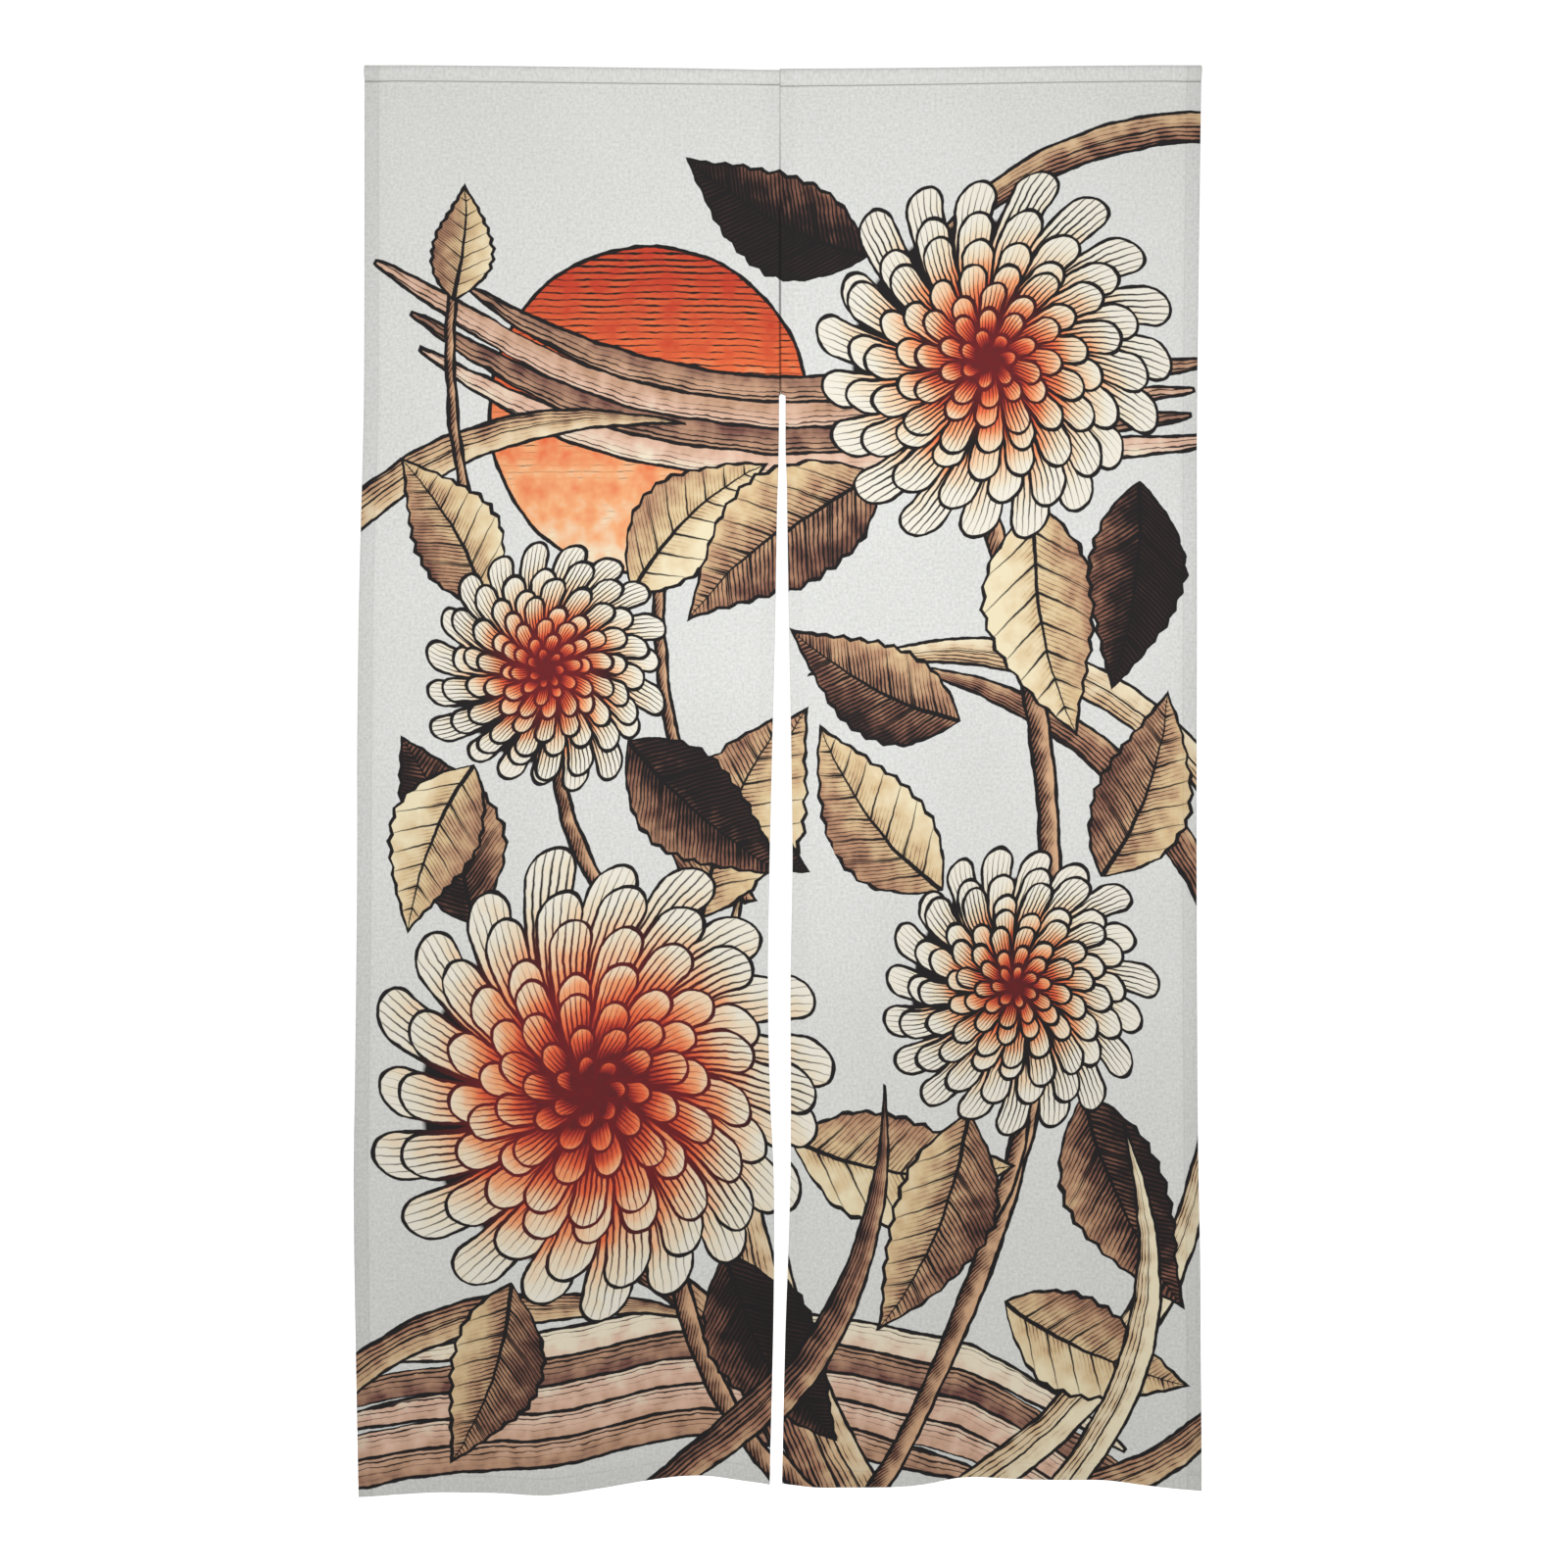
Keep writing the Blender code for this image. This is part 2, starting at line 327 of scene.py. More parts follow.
def positionsDown():
    top, foot, hem, end = sleeve["height"], cloth["length"], cloth["bottomHem"], cloth["seamEnd"]
    down = [-top - sleeve["turn"], -top - extra["sleeveBack"]]
    down += stepped(-top, top, top / sleeve["steps"])
    plain = stepped(top + extra["sleeve"], foot - hem - extra["hem"], cloth["cell"])
    down += [n for n in plain if abs(n - end) > cloth["cell"] * extra["clear"]]
    for start, more in ((top, "sleeveLine"), (end, "slitTop"), (foot - hem, "bottomLine"),
                        (foot, "bottomFoldBack"), (foot + hem, "bottomLineBack")):
        down += [start + n for n in extra[more]]
    down += [foot - n for n in extra["bottomFold"]]
    return np.array(sorted(down, reverse=True))


bakeMap = {
    "gap": 0.004,  # between the map's parts, as shares of its side
    "front": 0.786,  # height of the printed side's two halves, which lie side by side
    "rim": 0.01,
}


def bakePlaces(a, b, corners):
    # the map to bake on: the printed side largest, then the cut edges and the back
    vertex = corners.reshape(-1, 4)
    place = vertex % len(a)
    behind = (vertex >= len(a)).sum(axis=1)
    wide = a.max() - a.min()
    cut = np.sort(np.unique(b))[len(np.unique(b)) // 2]
    lower = (b[place].mean(axis=1) > cut)[:, None]
    half = np.where(lower, b.max() - cut, cut - b.min())
    gap = bakeMap["gap"]
    u = gap + (a[place] - a.min()) / wide * (0.5 - 2 * gap) + 0.5 * lower
    share = (b[place] - np.where(lower, cut, b.min())) / half
    backFoot = bakeMap["front"] + bakeMap["rim"] + 3 * gap
    front, back = gap + share * bakeMap["front"], backFoot + share * (1 - gap - backFoot)
    v = np.where(behind[:, None] == 4, back, front)
    rim = (behind > 0) & (behind < 4)
    step = np.arange(rim.sum())[:, None] + np.array([0, 1, 1, 0])
    u[rim] = gap + step / rim.sum() * (1 - 2 * gap)
    v[rim] = bakeMap["front"] + 2 * gap + np.array([0, 0, 1, 1]) * bakeMap["rim"]
    return np.stack([u, v], axis=-1).astype(np.float32)


def buildCloth(panel, material):
    across, down = positionsAcross(), positionsDown()
    name = panel.side + "Cloth"
    bm = bmesh.new()
    bmesh.ops.create_grid(bm, x_segments=len(across) - 1, y_segments=len(down) - 1, size=0.5)
    mesh = meshOf(name, bm)
    a, b = np.tile(across, len(down)), np.repeat(down, len(across))
    mesh.vertices.foreach_set("co", clothPoints(panel, a, b).astype(np.float32).ravel())
    obj = placed(name + "Sheet", mesh)
    thicken = obj.modifiers.new("Thickness", "SOLIDIFY")
    thicken.thickness = cloth["thickness"]
    thicken.offset = 0
    solid = modified(obj)
    solid.name = name
    solid.materials.append(material)
    solid.shade_smooth()
    corners = np.zeros(len(solid.loops), int)
    solid.loops.foreach_get("vertex_index", corners)
    place = np.stack([besideSlit(panel, a, b) + panel.printStart, -b], axis=-1)[corners % len(a)]
    solid.uv_layers.new(name="flatCloth").data.foreach_set("uv", place.astype(np.float32).ravel())
    solid.uv_layers.new(name="OFBake").data.foreach_set("uv", bakePlaces(a, b, corners).ravel())
    side = solid.attributes.new("underside", "FLOAT", "POINT")
    side.data.foreach_set("value", (np.arange(2 * len(a)) >= len(a)).astype(np.float32))
    piece = placed(name, solid)
    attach(piece, "root")
    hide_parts(panel.side + "_panel", panel.side + "_sleeve")
    print(name, len(across), "x", len(down), "points,", len(solid.polygons), "faces")
    return piece


# ---- shader maths


class Wire:  # a shader socket that can stand in a sum
    def __init__(self, net, socket):
        self.net, self.socket = net, socket

    def operator(operation, backwards=False):
        def combine(self, *other):
            return self.net.math(operation, *((*other, self) if backwards else (self, *other)))
        return combine

    __add__ = __radd__ = operator("ADD")
    __mul__ = __rmul__ = operator("MULTIPLY")
    __sub__, __rsub__ = operator("SUBTRACT"), operator("SUBTRACT", backwards=True)
    __truediv__, __abs__ = operator("DIVIDE"), operator("ABSOLUTE")


class Net:  # the nodes of a material or the world
    def __init__(self, owner, shader="Principled BSDF"):
        owner.use_nodes = True
        self.owner, self.tree = owner, owner.node_tree
        self.shader = self.tree.nodes[shader]

    def node(self, kind, settings=None, inputs=None, output=0):
        made = self.tree.nodes.new("ShaderNode" + kind)
        for key, value in (settings or {}).items():
            if key == "stops":
                self.setStops(made.color_ramp, value)
            else:
                setattr(made, key, value)
        for key, value in (inputs or {}).items():
            self.feed(made.inputs[key], value)
        return Wire(self, made.outputs[output])

    def feed(self, socket, value):
        if isinstance(value, Wire):
            self.tree.links.new(value.socket, socket)
        else:
            socket.default_value = value

    def setStops(self, ramp, stops):
        while len(ramp.elements) < len(stops):
            ramp.elements.new(1)
        for element, (position, colour) in zip(ramp.elements, stops):
            element.position = position
            element.color = (*colour, 1)

    def math(self, operation, *values, clamp=False):
        settings = {"operation": operation, "use_clamp": clamp}
        return self.node("Math", settings, dict(enumerate(values)))

    def scaled(self, value, factor, plus, clamp=False):
        return self.math("MULTIPLY_ADD", value, factor, plus, clamp=clamp)

    def most(self, first, second):
        return self.math("MAXIMUM", first, second)

    def vector(self, operation, *values, output=0):
        return self.node("VectorMath", {"operation": operation}, dict(enumerate(values)), output)

    def split(self, vector):
        parts = self.node("SeparateXYZ", None, {0: vector})
        return [Wire(self, socket) for socket in parts.socket.node.outputs]

    def mixVector(self, share, first, second):
        return self.node("Mix", {"data_type": "VECTOR"}, {0: share, 4: first, 5: second}, 1)

    def mixColour(self, share, first, second):
        first, second = (c if isinstance(c, Wire) else (*c, 1) for c in (first, second))
        return self.node("Mix", {"data_type": "RGBA"}, {0: share, 6: first, 7: second}, 2)

    def noise(self, vector, scale, detail=2.0, output=0):
        inputs = {"Vector": vector, "Scale": scale, "Detail": detail}
        return self.node("TexNoise", {"noise_dimensions": "2D"}, inputs, output)

    def under(self, value, limit, soft):  # 1 where value is less than limit, with a soft change
        return self.scaled(limit - value, 1 / soft, 0.5, clamp=True)

    def finish(self, inputs):
        for key, value in inputs.items():
            self.feed(self.shader.inputs[key], value)
        return self.owner


# ---- the printed design: flowers, leaves and grass, and a low sun behind bands of cloud
# places are metres on the flat cloth, from the top of the seam, x to the right and y upwards

ink = {
    "line": 0.0037,  # outlines
    "dry": 0.42,  # share of that where the pen presses least
    "wet": 1.3,  # and what its pressure adds
    "soft": 0.0006,  # bleed at the lines' edges
    "wobble": 0.0022,
    "drift": (26, 2.0),  # the hand's slow wander: scale, and share of the wobble
    "tremble": (140, 0.45),
    "centre": 1.22,  # the mean of those two
    "pressing": 48,  # scale of the pen's pressure
    "cutEnd": 0.15,  # rough metres to a shape's length, at its cut end
    "black": (0.012, 0.01, 0.01),
    "maroon": (0.15, 0.012, 0.014),  # the lines near a flower's heart
}
Pen = namedtuple("Pen", "spot line press")  # the place, the outline's width, how wet the ink is
Sun = namedtuple("Sun", "x y radius")
sun = Sun(-0.135, -0.345, 0.165)
Stream = namedtuple("Stream", "x y inner bands step start end swell turns")  # arcs round x, y, in degrees
streams = [
    Stream(0.14, 0.8, 1.115, 4, 0.026, 238, 291, 0.012, 11),
    Stream(-0.16, -2.36, 0.975, 5, 0.027, 52, 118, 0.014, 9),
]
Stem = namedtuple("Stem", "x y endX endY bow half")
stems = rows(Stem, [
    (0.06, -1.46, -0.1, -1.1, 0.06, 0.0095), (0.08, -1.46, 0.2, -0.42, -0.13, 0.0105),
    (0.13, -1.24, 0.24, -0.98, -0.05, 0.0075), (-0.03, -0.93, -0.22, -0.62, 0.07, 0.007),
    (-0.02, -0.84, -0.12, -0.52, 0.03, 0.0055), (-0.27, -0.56, -0.335, -0.2, 0.03, 0.0045),
])
Blade = namedtuple("Blade", "x y turn length width bow tone")  # grass, from its foot. turn: degrees
grassBehind = rows(Blade, [
    (0.1, -1.46, 101, 0.66, 0.04, 0.07, 0.5), (0.17, -1.46, 60, 0.56, 0.038, -0.075, 0.28),
    (0.47, -0.883, 142, 0.46, 0.034, -0.06, 0.8), (-0.47, -0.48, 18, 0.39, 0.034, 0.05, 0.5),
    (-0.47, -1.334, 8, 0.41, 0.034, 0.06, 0.62),
])
grassBetween = rows(Blade, [
    (0.05, -1.46, 137, 0.46, 0.036, -0.06, 0.75), (0.21, -1.46, 36, 0.36, 0.034, -0.06, 0.62),
    (0.47, -0.749, 163, 0.47, 0.036, -0.08, 0.35), (0.47, -0.061, 205, 0.385, 0.032, -0.05, 0.7),
])
grassInFront = [
    Blade(-0.15, -1.46, 60, 0.5, 0.034, -0.075, 0.85),
    Blade(0.27, -1.46, 78, 0.4, 0.032, -0.06, 0.22),
]
Leaf = namedtuple("Leaf", "x y turn length width bend tone")  # from its foot. turn: degrees
leavesBehind = rows(Leaf, [
    (-0.31, -0.86, 112, 0.2, 0.105, 0.25, 0.9), (-0.07, -0.86, 68, 0.23, 0.112, -0.25, 0.5),
    (0.0, -1.08, 352, 0.24, 0.11, 0.3, 0.35), (-0.27, -1.22, 250, 0.19, 0.095, -0.3, 0.6),
    (0.09, -0.19, 152, 0.21, 0.1, -0.25, 1.1), (0.26, -0.44, 280, 0.24, 0.115, 0.25, 0.3),
    (0.31, -1.04, 296, 0.23, 0.105, 0.25, 0.85), (-0.3, -0.54, 122, 0.17, 0.088, 0.25, 0.45),
    (0.18, -0.66, 152, 0.2, 0.095, -0.25, 0.72), (-0.338, -0.235, 84, 0.115, 0.062, 0.15, 0.42),
    (-0.15, -0.53, 44, 0.19, 0.094, -0.3, 0.3),
])
leavesInFront = rows(Leaf, [
    (-0.05, -1.2, 300, 0.21, 0.102, 0.3, 1.1), (0.1, -0.41, 218, 0.24, 0.115, 0.3, 0.6),
    (0.37, -0.42, 262, 0.21, 0.098, -0.2, 1.05), (0.16, -0.83, 128, 0.21, 0.104, -0.3, 0.4),
    (0.33, -0.82, 70, 0.2, 0.098, 0.3, 0.55), (0.19, -1.06, 246, 0.23, 0.108, -0.3, 0.55),
    (-0.15, -0.68, 322, 0.21, 0.102, 0.25, 0.95), (-0.31, -0.7, 248, 0.18, 0.09, 0.25, 0.35),
    (0.23, -1.25, 338, 0.2, 0.098, 0.3, 0.38),
])
Flower = namedtuple("Flower", "x y radius turn warmth")
flowers = rows(Flower, [
    (-0.185, -1.03, 0.24, 1.1, 1.0), (0.215, -0.295, 0.19, 0.3, 0.45), (0.24, -0.93, 0.15, 0.7, 0.2),
    (-0.235, -0.605, 0.128, 2.0, 0.65),
])
Ring = namedtuple("Ring", "petals reach half base")  # shares of the flower's radius
rings = rows(Ring, [
    (19, 1.0, 0.118, 0.25), (18, 0.85, 0.11, 0.22), (17, 0.7, 0.098, 0.18), (15, 0.55, 0.086, 0.12),
    (12, 0.41, 0.078, 0.08), (10, 0.285, 0.064, 0.04), (7, 0.17, 0.052, 0.01),
])
# a wash's tone or a stroke's width: from the place in the shape, the wet ink, the shape's own tone
Mix = namedtuple("Mix", "base place wet own")
sunLook = {
    "wash": [(0.12, (0.52, 0.05, 0.022)), (0.42, (0.74, 0.14, 0.045)), (0.66, (0.82, 0.38, 0.17)),
             (0.88, (0.8, 0.66, 0.46))],
    "tone": Mix(0.22, -0.34, 0.5, 0),
    "strokes": Mix(-0.38, 0.3, 0.8, 0),
    "ruled": 150,  # strokes to a metre
}
streamLook = {
    "wash": [(0.1, (0.8, 0.71, 0.54)), (0.35, (0.7, 0.46, 0.34)), (0.6, (0.5, 0.29, 0.18)),
             (0.92, (0.17, 0.07, 0.055))],
    "tone": Mix(-0.17, -0.25, 0.5, 0.85),
    "strokes": Mix(-0.12, 0.55, 0.55, 0.35),
    "thinTips": 0.22,
    "ruled": 5,  # strokes to a band's width
    "waving": 0.8,
    "ragged": 0.45,  # how unevenly the bands end
    "tip": 0.16,  # length of a band's pointed end, in metres
    "blunt": 0.02,
}
grassLook = {
    "wash": [(0.15, (0.8, 0.71, 0.5)), (0.45, (0.64, 0.44, 0.25)), (0.7, (0.38, 0.18, 0.11)),
             (0.95, (0.09, 0.04, 0.032))],
    "tone": Mix(-0.16, 0.16, 0.45, 0.8),
    "strokes": Mix(-0.42, 0.3, 0.7, 0.5),
    "ruled": 3.5,
    "slant": 1.5,
    "room": 0.12,  # how far to each side of its line a blade may bow
    "tip": 0.02,  # width there, as a share
    "rib": (0.0007, -0.0006),  # its half width half way up, and its change to the tip
}
stemLook = {
    "wash": [(0.2, (0.62, 0.38, 0.22)), (0.75, (0.25, 0.11, 0.065))],
    "tone": Mix(0, 0.35, 1, 0),
    "strokes": Mix(-0.28, 0.42, 1, 0),
    "ruled": 260,
    "slant": 160,
    "knots": (5, 1.1, -0.35),  # how many, their half width, and its change between them
}
leafLook = {
    "wash": [(0.1, (0.8, 0.7, 0.47)), (0.36, (0.67, 0.49, 0.27)), (0.58, (0.47, 0.26, 0.15)),
             (0.8, (0.21, 0.09, 0.06)), (1.0, (0.04, 0.02, 0.018))],
    "tone": Mix(-0.22, 0.3, 0.5, 0.95),
    "strokes": Mix(-0.42, 0.3, 0.5, 0.95),
    "thinEdge": 0.3,
    "ruled": 21,
    "veins": (4, 0.13, -0.11),  # how many, their width at the rib, and its change to the edge
    "rib": (0.0016, -0.0011),
    "sweep": 0.34,  # how far the veins lean to the tip
    "point": 0.42,  # how much narrower the leaf is towards its tip
    "teeth": (5.5, 0.4, 0.17, 0.93),  # how many, their lean, their depth, and the width between them
}
petalLook = {
    "wash": [(0.02, (0.11, 0.014, 0.016)), (0.17, (0.42, 0.035, 0.022)), (0.34, (0.76, 0.125, 0.045)),
             (0.52, (0.84, 0.34, 0.15)), (0.7, (0.83, 0.6, 0.39)), (0.88, (0.8, 0.71, 0.54)),
             (1.0, (0.8, 0.755, 0.64))],
    "heat": Mix(-0.42, 0.95, 0.34, -0.24),  # the flower's, from its middle outwards
    "coolFrom": 0.821,  # share of the radius
    "tone": (0.75, 0.1),  # what a petal's tip and one side of it add to that
    "strokes": Mix(0.7225, -0.8075, 0, 0.272),
    "thinSide": 0.085,
    "ruled": 3,
    "waving": 0.3,
    "curl": 0.055,  # the petals turn a little one way
    "ground": 0.74,  # how far out the dark between the petals goes
    "maroon": (0.6, 0.35),  # how far out the warmest flower's lines are maroon, and the soft change
    "reach": (0.9, 0.15),  # a ring's shortest petal, and how much more its longest has
    "half": (0.36, 0.62),  # at a petal's foot, and how much more at its tip
    "nextRing": 0.37,  # turn from one ring to the next, in petals
    "seeds": (7.3, 31.7),
}


def printedColour(ground, flat):
    net = flat.net
    spot = flat
    for (scale, share), detail in ((ink["drift"], 1.5), (ink["tremble"], 1.0)):
        size = ink["wobble"] * share
        noise = net.noise(flat, scale, detail, output=1)
        spot = net.vector("MULTIPLY_ADD", noise, (size, size, 0), spot)
    size = ink["wobble"] * ink["centre"]
    spot = net.vector("SUBTRACT", spot, (size, size, -1))  # z is 1, for ownPlace
    press = net.noise(flat, ink["pressing"])
    line = net.scaled(press, ink["line"] * ink["wet"], ink["line"] * ink["dry"])
    pen = Pen(spot, line, press)
    colour = drawSun(ground, pen)
    for stream in streams:
        colour = drawStream(colour, pen, stream)
    for blades in (grassBehind, grassBetween):
        colour = drawGrass(colour, pen, blades)
    for stem in stems:
        colour = drawStem(colour, pen, stem)
    for leaves in (leavesBehind, leavesInFront):
        colour = drawLeaves(colour, pen, leaves)
    colour = drawFlowers(colour, pen)
    return drawGrass(colour, pen, grassInFront)


def drawn(colour, wash, edge, line, marks, dark=ink["black"]):
    # the wash and marks fill the shape, the outline goes on its edge; edge: metres outside it
    net = edge.net
    inside = net.under(edge, 0.0, ink["soft"])
    outline = net.under(abs(edge), line * 0.5, ink["soft"])
    colour = net.mixColour(inside, colour, wash)
    return net.mixColour(net.most(marks * inside, outline), colour, dark)


def ramp(stops, level):
    return level.net.node("ValToRGB", {"stops": stops}, {0: level})


def ruled(phase, width, soft=0.12):  # parallel strokes; width is their share of the spacing
    net = phase.net
    return net.under(net.math("PINGPONG", phase, 0.5), width * 0.5, soft)


def mixed(mix, place, pen, own=None):
    net = place.net
    level = net.scaled(place, mix.place, mix.base)
    if mix.wet:
        level = net.scaled(pen.press, mix.wet, level)
    return net.scaled(own, mix.own, level) if mix.own else level


def ownPlace(spot, x, y, turn, halfLength, halfWidth):  # along and beside the shape at x, y
    right, up = math.cos(turn), math.sin(turn)
    along = (right / halfLength, up / halfLength, -(x * right + y * up) / halfLength)
    beside = (-up / halfWidth, right / halfWidth, (x * up - y * right) / halfWidth)
    return [spot.net.vector("DOT_PRODUCT", spot, way, output=1) for way in (along, beside)]


def nearest(spot, places):
    # of shapes that lie apart, the one that holds this spot: where in it, and its traits
    net, local, traits, reach = spot.net, None, None, None
    for x, y, turn, halfLength, halfWidth, look in places:
        along, beside = ownPlace(spot, x, y, turn, halfLength, halfWidth)
        here = net.node("CombineXYZ", None, {0: along, 1: beside, 2: halfWidth})
        away = net.vector("LENGTH", here, output=1)
        if local is None:
            local, traits, reach = here, look, away
            continue
        nearer = net.math("LESS_THAN", away, reach)
        local = net.mixVector(nearer, local, here)
        traits = net.mixVector(nearer, traits, look)
        reach = net.math("MINIMUM", reach, away)
    return net.split(local) + net.split(traits)


def middleOf(shape):  # of a leaf or blade, that starts at its foot
    turn = math.radians(shape.turn)
    half = shape.length / 2
    return shape.x + math.cos(turn) * half, shape.y + math.sin(turn) * half, turn, half


def drawSun(colour, pen):
    net, look = pen.spot.net, sunLook
    away = net.vector("DISTANCE", pen.spot, (sun.x, sun.y, 1), output=1)
    _, up, _ = net.split(pen.spot)
    height = (up - sun.y) / sun.radius
    wash = ramp(look["wash"], mixed(look["tone"], height, pen))
    strokes = ruled(up * look["ruled"], mixed(look["strokes"], height, pen), 0.14)
    return drawn(colour, wash, away - sun.radius, pen.line, strokes)


def drawStream(colour, pen, stream):
    net, look = pen.spot.net, streamLook
    right, up, _ = net.split(net.vector("SUBTRACT", pen.spot, (stream.x, stream.y, 0)))
    away = net.math("SQRT", net.scaled(right, right, up * up))
    middle = math.radians((stream.start + stream.end) / 2)
    spread = math.radians(stream.end - stream.start) / 2
    aside = net.scaled(right, -math.sin(middle), up * math.cos(middle))
    ahead = net.scaled(right, math.cos(middle), up * math.sin(middle))
    turned = net.math("ARCTAN2", aside, ahead)
    away = net.scaled(net.math("SINE", turned * stream.turns), stream.swell, away)
    place = (away - stream.inner) / stream.step
    band = net.node("Clamp", None, {"Value": net.math("FLOOR", place), "Max": stream.bands - 1})
    chance = net.node("TexWhiteNoise", {"noise_dimensions": "1D"}, {"W": band + stream.inner}, 1)
    early, late, kind = net.split(chance)
    beside = place - band - 0.5
    first = net.scaled(early, -look["ragged"] * spread, spread - turned)
    last = net.scaled(late, -look["ragged"] * spread, turned + spread)
    tip = net.math("MULTIPLY", net.math("MINIMUM", first, last), stream.inner / look["tip"], clamp=True)
    edge = (abs(beside) - net.math("SQRT", tip) * 0.5) * stream.step
    edge = net.most(edge, (look["blunt"] - tip) * ink["cutEnd"])
    wash = ramp(look["wash"], mixed(look["tone"], beside, pen, kind))
    width = mixed(look["strokes"], beside, pen, kind) - tip * look["thinTips"]
    strokes = ruled(net.scaled(beside, look["ruled"], pen.press * look["waving"]), width, 0.15)
    return drawn(colour, wash, edge, pen.line * 0.9, strokes)


def drawGrass(colour, pen, blades):
    net, look, room = pen.spot.net, grassLook, grassLook["room"]
    places = [(*middleOf(blade), room, (blade.bow / room, blade.tone, blade.width)) for blade in blades]
    along, beside, _, bow, tone, width = nearest(pen.spot, places)
    beside = net.scaled(bow, along * along - 1, beside) * room
    rise = net.scaled(along, 0.5, 0.5)
    half = (1 + look["tip"] - rise * rise * rise) * width * 0.5
    side = beside / net.most(half, 0.002)
    edge = net.most(abs(beside) - half, (abs(along) - 1) * ink["cutEnd"])
    wash = ramp(look["wash"], mixed(look["tone"], side, pen, tone))
    width = mixed(look["strokes"], side, pen, tone)
    strokes = ruled(net.scaled(side, look["ruled"], along * look["slant"]), width, 0.14)
    ribHalf, toTip = look["rib"]
    rib = net.under(abs(beside), net.scaled(along, toTip, ribHalf), ink["soft"])
    return drawn(colour, wash, edge, pen.line * 0.9, net.most(strokes, rib))


def drawStem(colour, pen, stem):
    net, look = pen.spot.net, stemLook
    run = Vector((stem.endX - stem.x, stem.endY - stem.y))
    length, turn = run.length, math.atan2(run.y, run.x)
    along, beside = ownPlace(pen.spot, stem.x, stem.y, turn, length, length)
    bowed = net.scaled(along * (1 - along), -4 * stem.bow / length, beside)
    knots, atKnot, between = look["knots"]
    half = net.scaled(net.math("PINGPONG", along * knots, 0.5), between * stem.half, atKnot * stem.half)
    edge = net.scaled(abs(bowed), length, half * -1)
    edge = net.most(edge, (abs(along - 0.5) - 0.5) * length)
    side = bowed * (length / stem.half)
    phase = net.scaled(bowed, look["ruled"] * length, along * (length * look["slant"]))
    strokes = ruled(phase, mixed(look["strokes"], side, pen))
    wash = ramp(look["wash"], mixed(look["tone"], side, pen))
    return drawn(colour, wash, edge, pen.line, strokes)


def drawLeaves(colour, pen, leaves):
    net, look = pen.spot.net, leafLook
    places = [(*middleOf(leaf), leaf.width / 2, (leaf.bend, leaf.tone, 0)) for leaf in leaves]
    along, beside, half, bend, tone, _ = nearest(pen.spot, places)
    rise = 1 - along * along
    beside = net.scaled(bend, rise, beside)
    out = abs(beside)
    outline = rise * (1 - look["point"] * net.math("MINIMUM", along, 1.1))
    count, lean, depth, between = look["teeth"]
    teeth = net.math("PINGPONG", along * count - out * lean, 0.5)
    outline = net.scaled(teeth * rise, depth, outline * between)
    edge = (out - outline) * half
    sweep = along - out * look["sweep"]
    share = net.math("DIVIDE", out, net.most(outline, 0.05), clamp=True)
    count, atRib, toEdge = look["veins"]
    veins = ruled(sweep * count, net.scaled(share, toEdge, atRib), 0.05)
    ribHalf, toTip = look["rib"]
    rib = net.under(out * half, net.scaled(along, toTip, ribHalf), ink["soft"])
    width = mixed(look["strokes"], beside, pen, tone) - share * look["thinEdge"]
    strokes = ruled(sweep * look["ruled"], width, 0.16)
    marks = net.most(net.most(veins, rib), strokes)
    wash = ramp(look["wash"], mixed(look["tone"], beside, pen, tone))
    return drawn(colour, wash, edge, pen.line, marks)


def drawFlowers(colour, pen):
    net, look = pen.spot.net, petalLook
    places = [(f.x, f.y, f.turn, f.radius, f.radius, (f.radius, f.turn, f.warmth)) for f in flowers]
    across, up, _, radius, seed, warmth = nearest(pen.spot, places)
    away = net.math("SQRT", net.scaled(across, across, up * up))
    turned = net.math("ARCTAN2", up, across) / (2 * math.pi)
    turned = net.scaled(away, look["curl"], turned)
    colour = net.mixColour(net.under(away, look["ground"], 0.02), colour, ink["black"])
    heat = mixed(look["heat"], net.math("MINIMUM", away, look["coolFrom"]), pen, warmth)
    reddest, soft = look["maroon"]
    dark = net.mixColour(net.under(away, warmth * reddest, soft), ink["black"], ink["maroon"])
    for n, ring in enumerate(rings):
        phase = net.scaled(turned, ring.petals, look["nextRing"] * n)
        petal = net.math("ROUND", phase)
        ofFlower, ofRing = look["seeds"]
        draw = net.scaled(seed, ofFlower, net.math("WRAP", petal, ring.petals, 0) + ofRing * n)
        chance = net.node("TexWhiteNoise", {"noise_dimensions": "1D"}, {"W": draw})
        beside = (phase - petal) * away * (2 * math.pi / ring.petals)
        shortest, more = look["reach"]
        reach = net.scaled(chance, more * ring.reach, shortest * ring.reach)
        past = net.most(away - (reach - ring.half), 0)
        foot, more = look["half"]
        out = net.math("MINIMUM", away, ring.reach)
        half = net.scaled(out, ring.half * more / ring.reach, ring.half * foot)
        gap = net.math("SQRT", net.scaled(past, past, beside * beside)) - half
        depth = (away - ring.base) / (reach - ring.base)  # 0 deep in the flower, 1 at the petal's tip
        fan = beside / half
        tip, side = look["tone"]
        wash = ramp(look["wash"], net.scaled(fan, side, depth * tip + heat))
        width = mixed(look["strokes"], depth, pen, chance) - abs(fan) * look["thinSide"]
        strokes = ruled(fan * look["ruled"] + pen.press * look["waving"], width, 0.15)
        colour = drawn(colour, wash, gap * radius, pen.line * 0.85, strokes, dark)
    return colour


# ---- the linen, and the thread it is sewn with

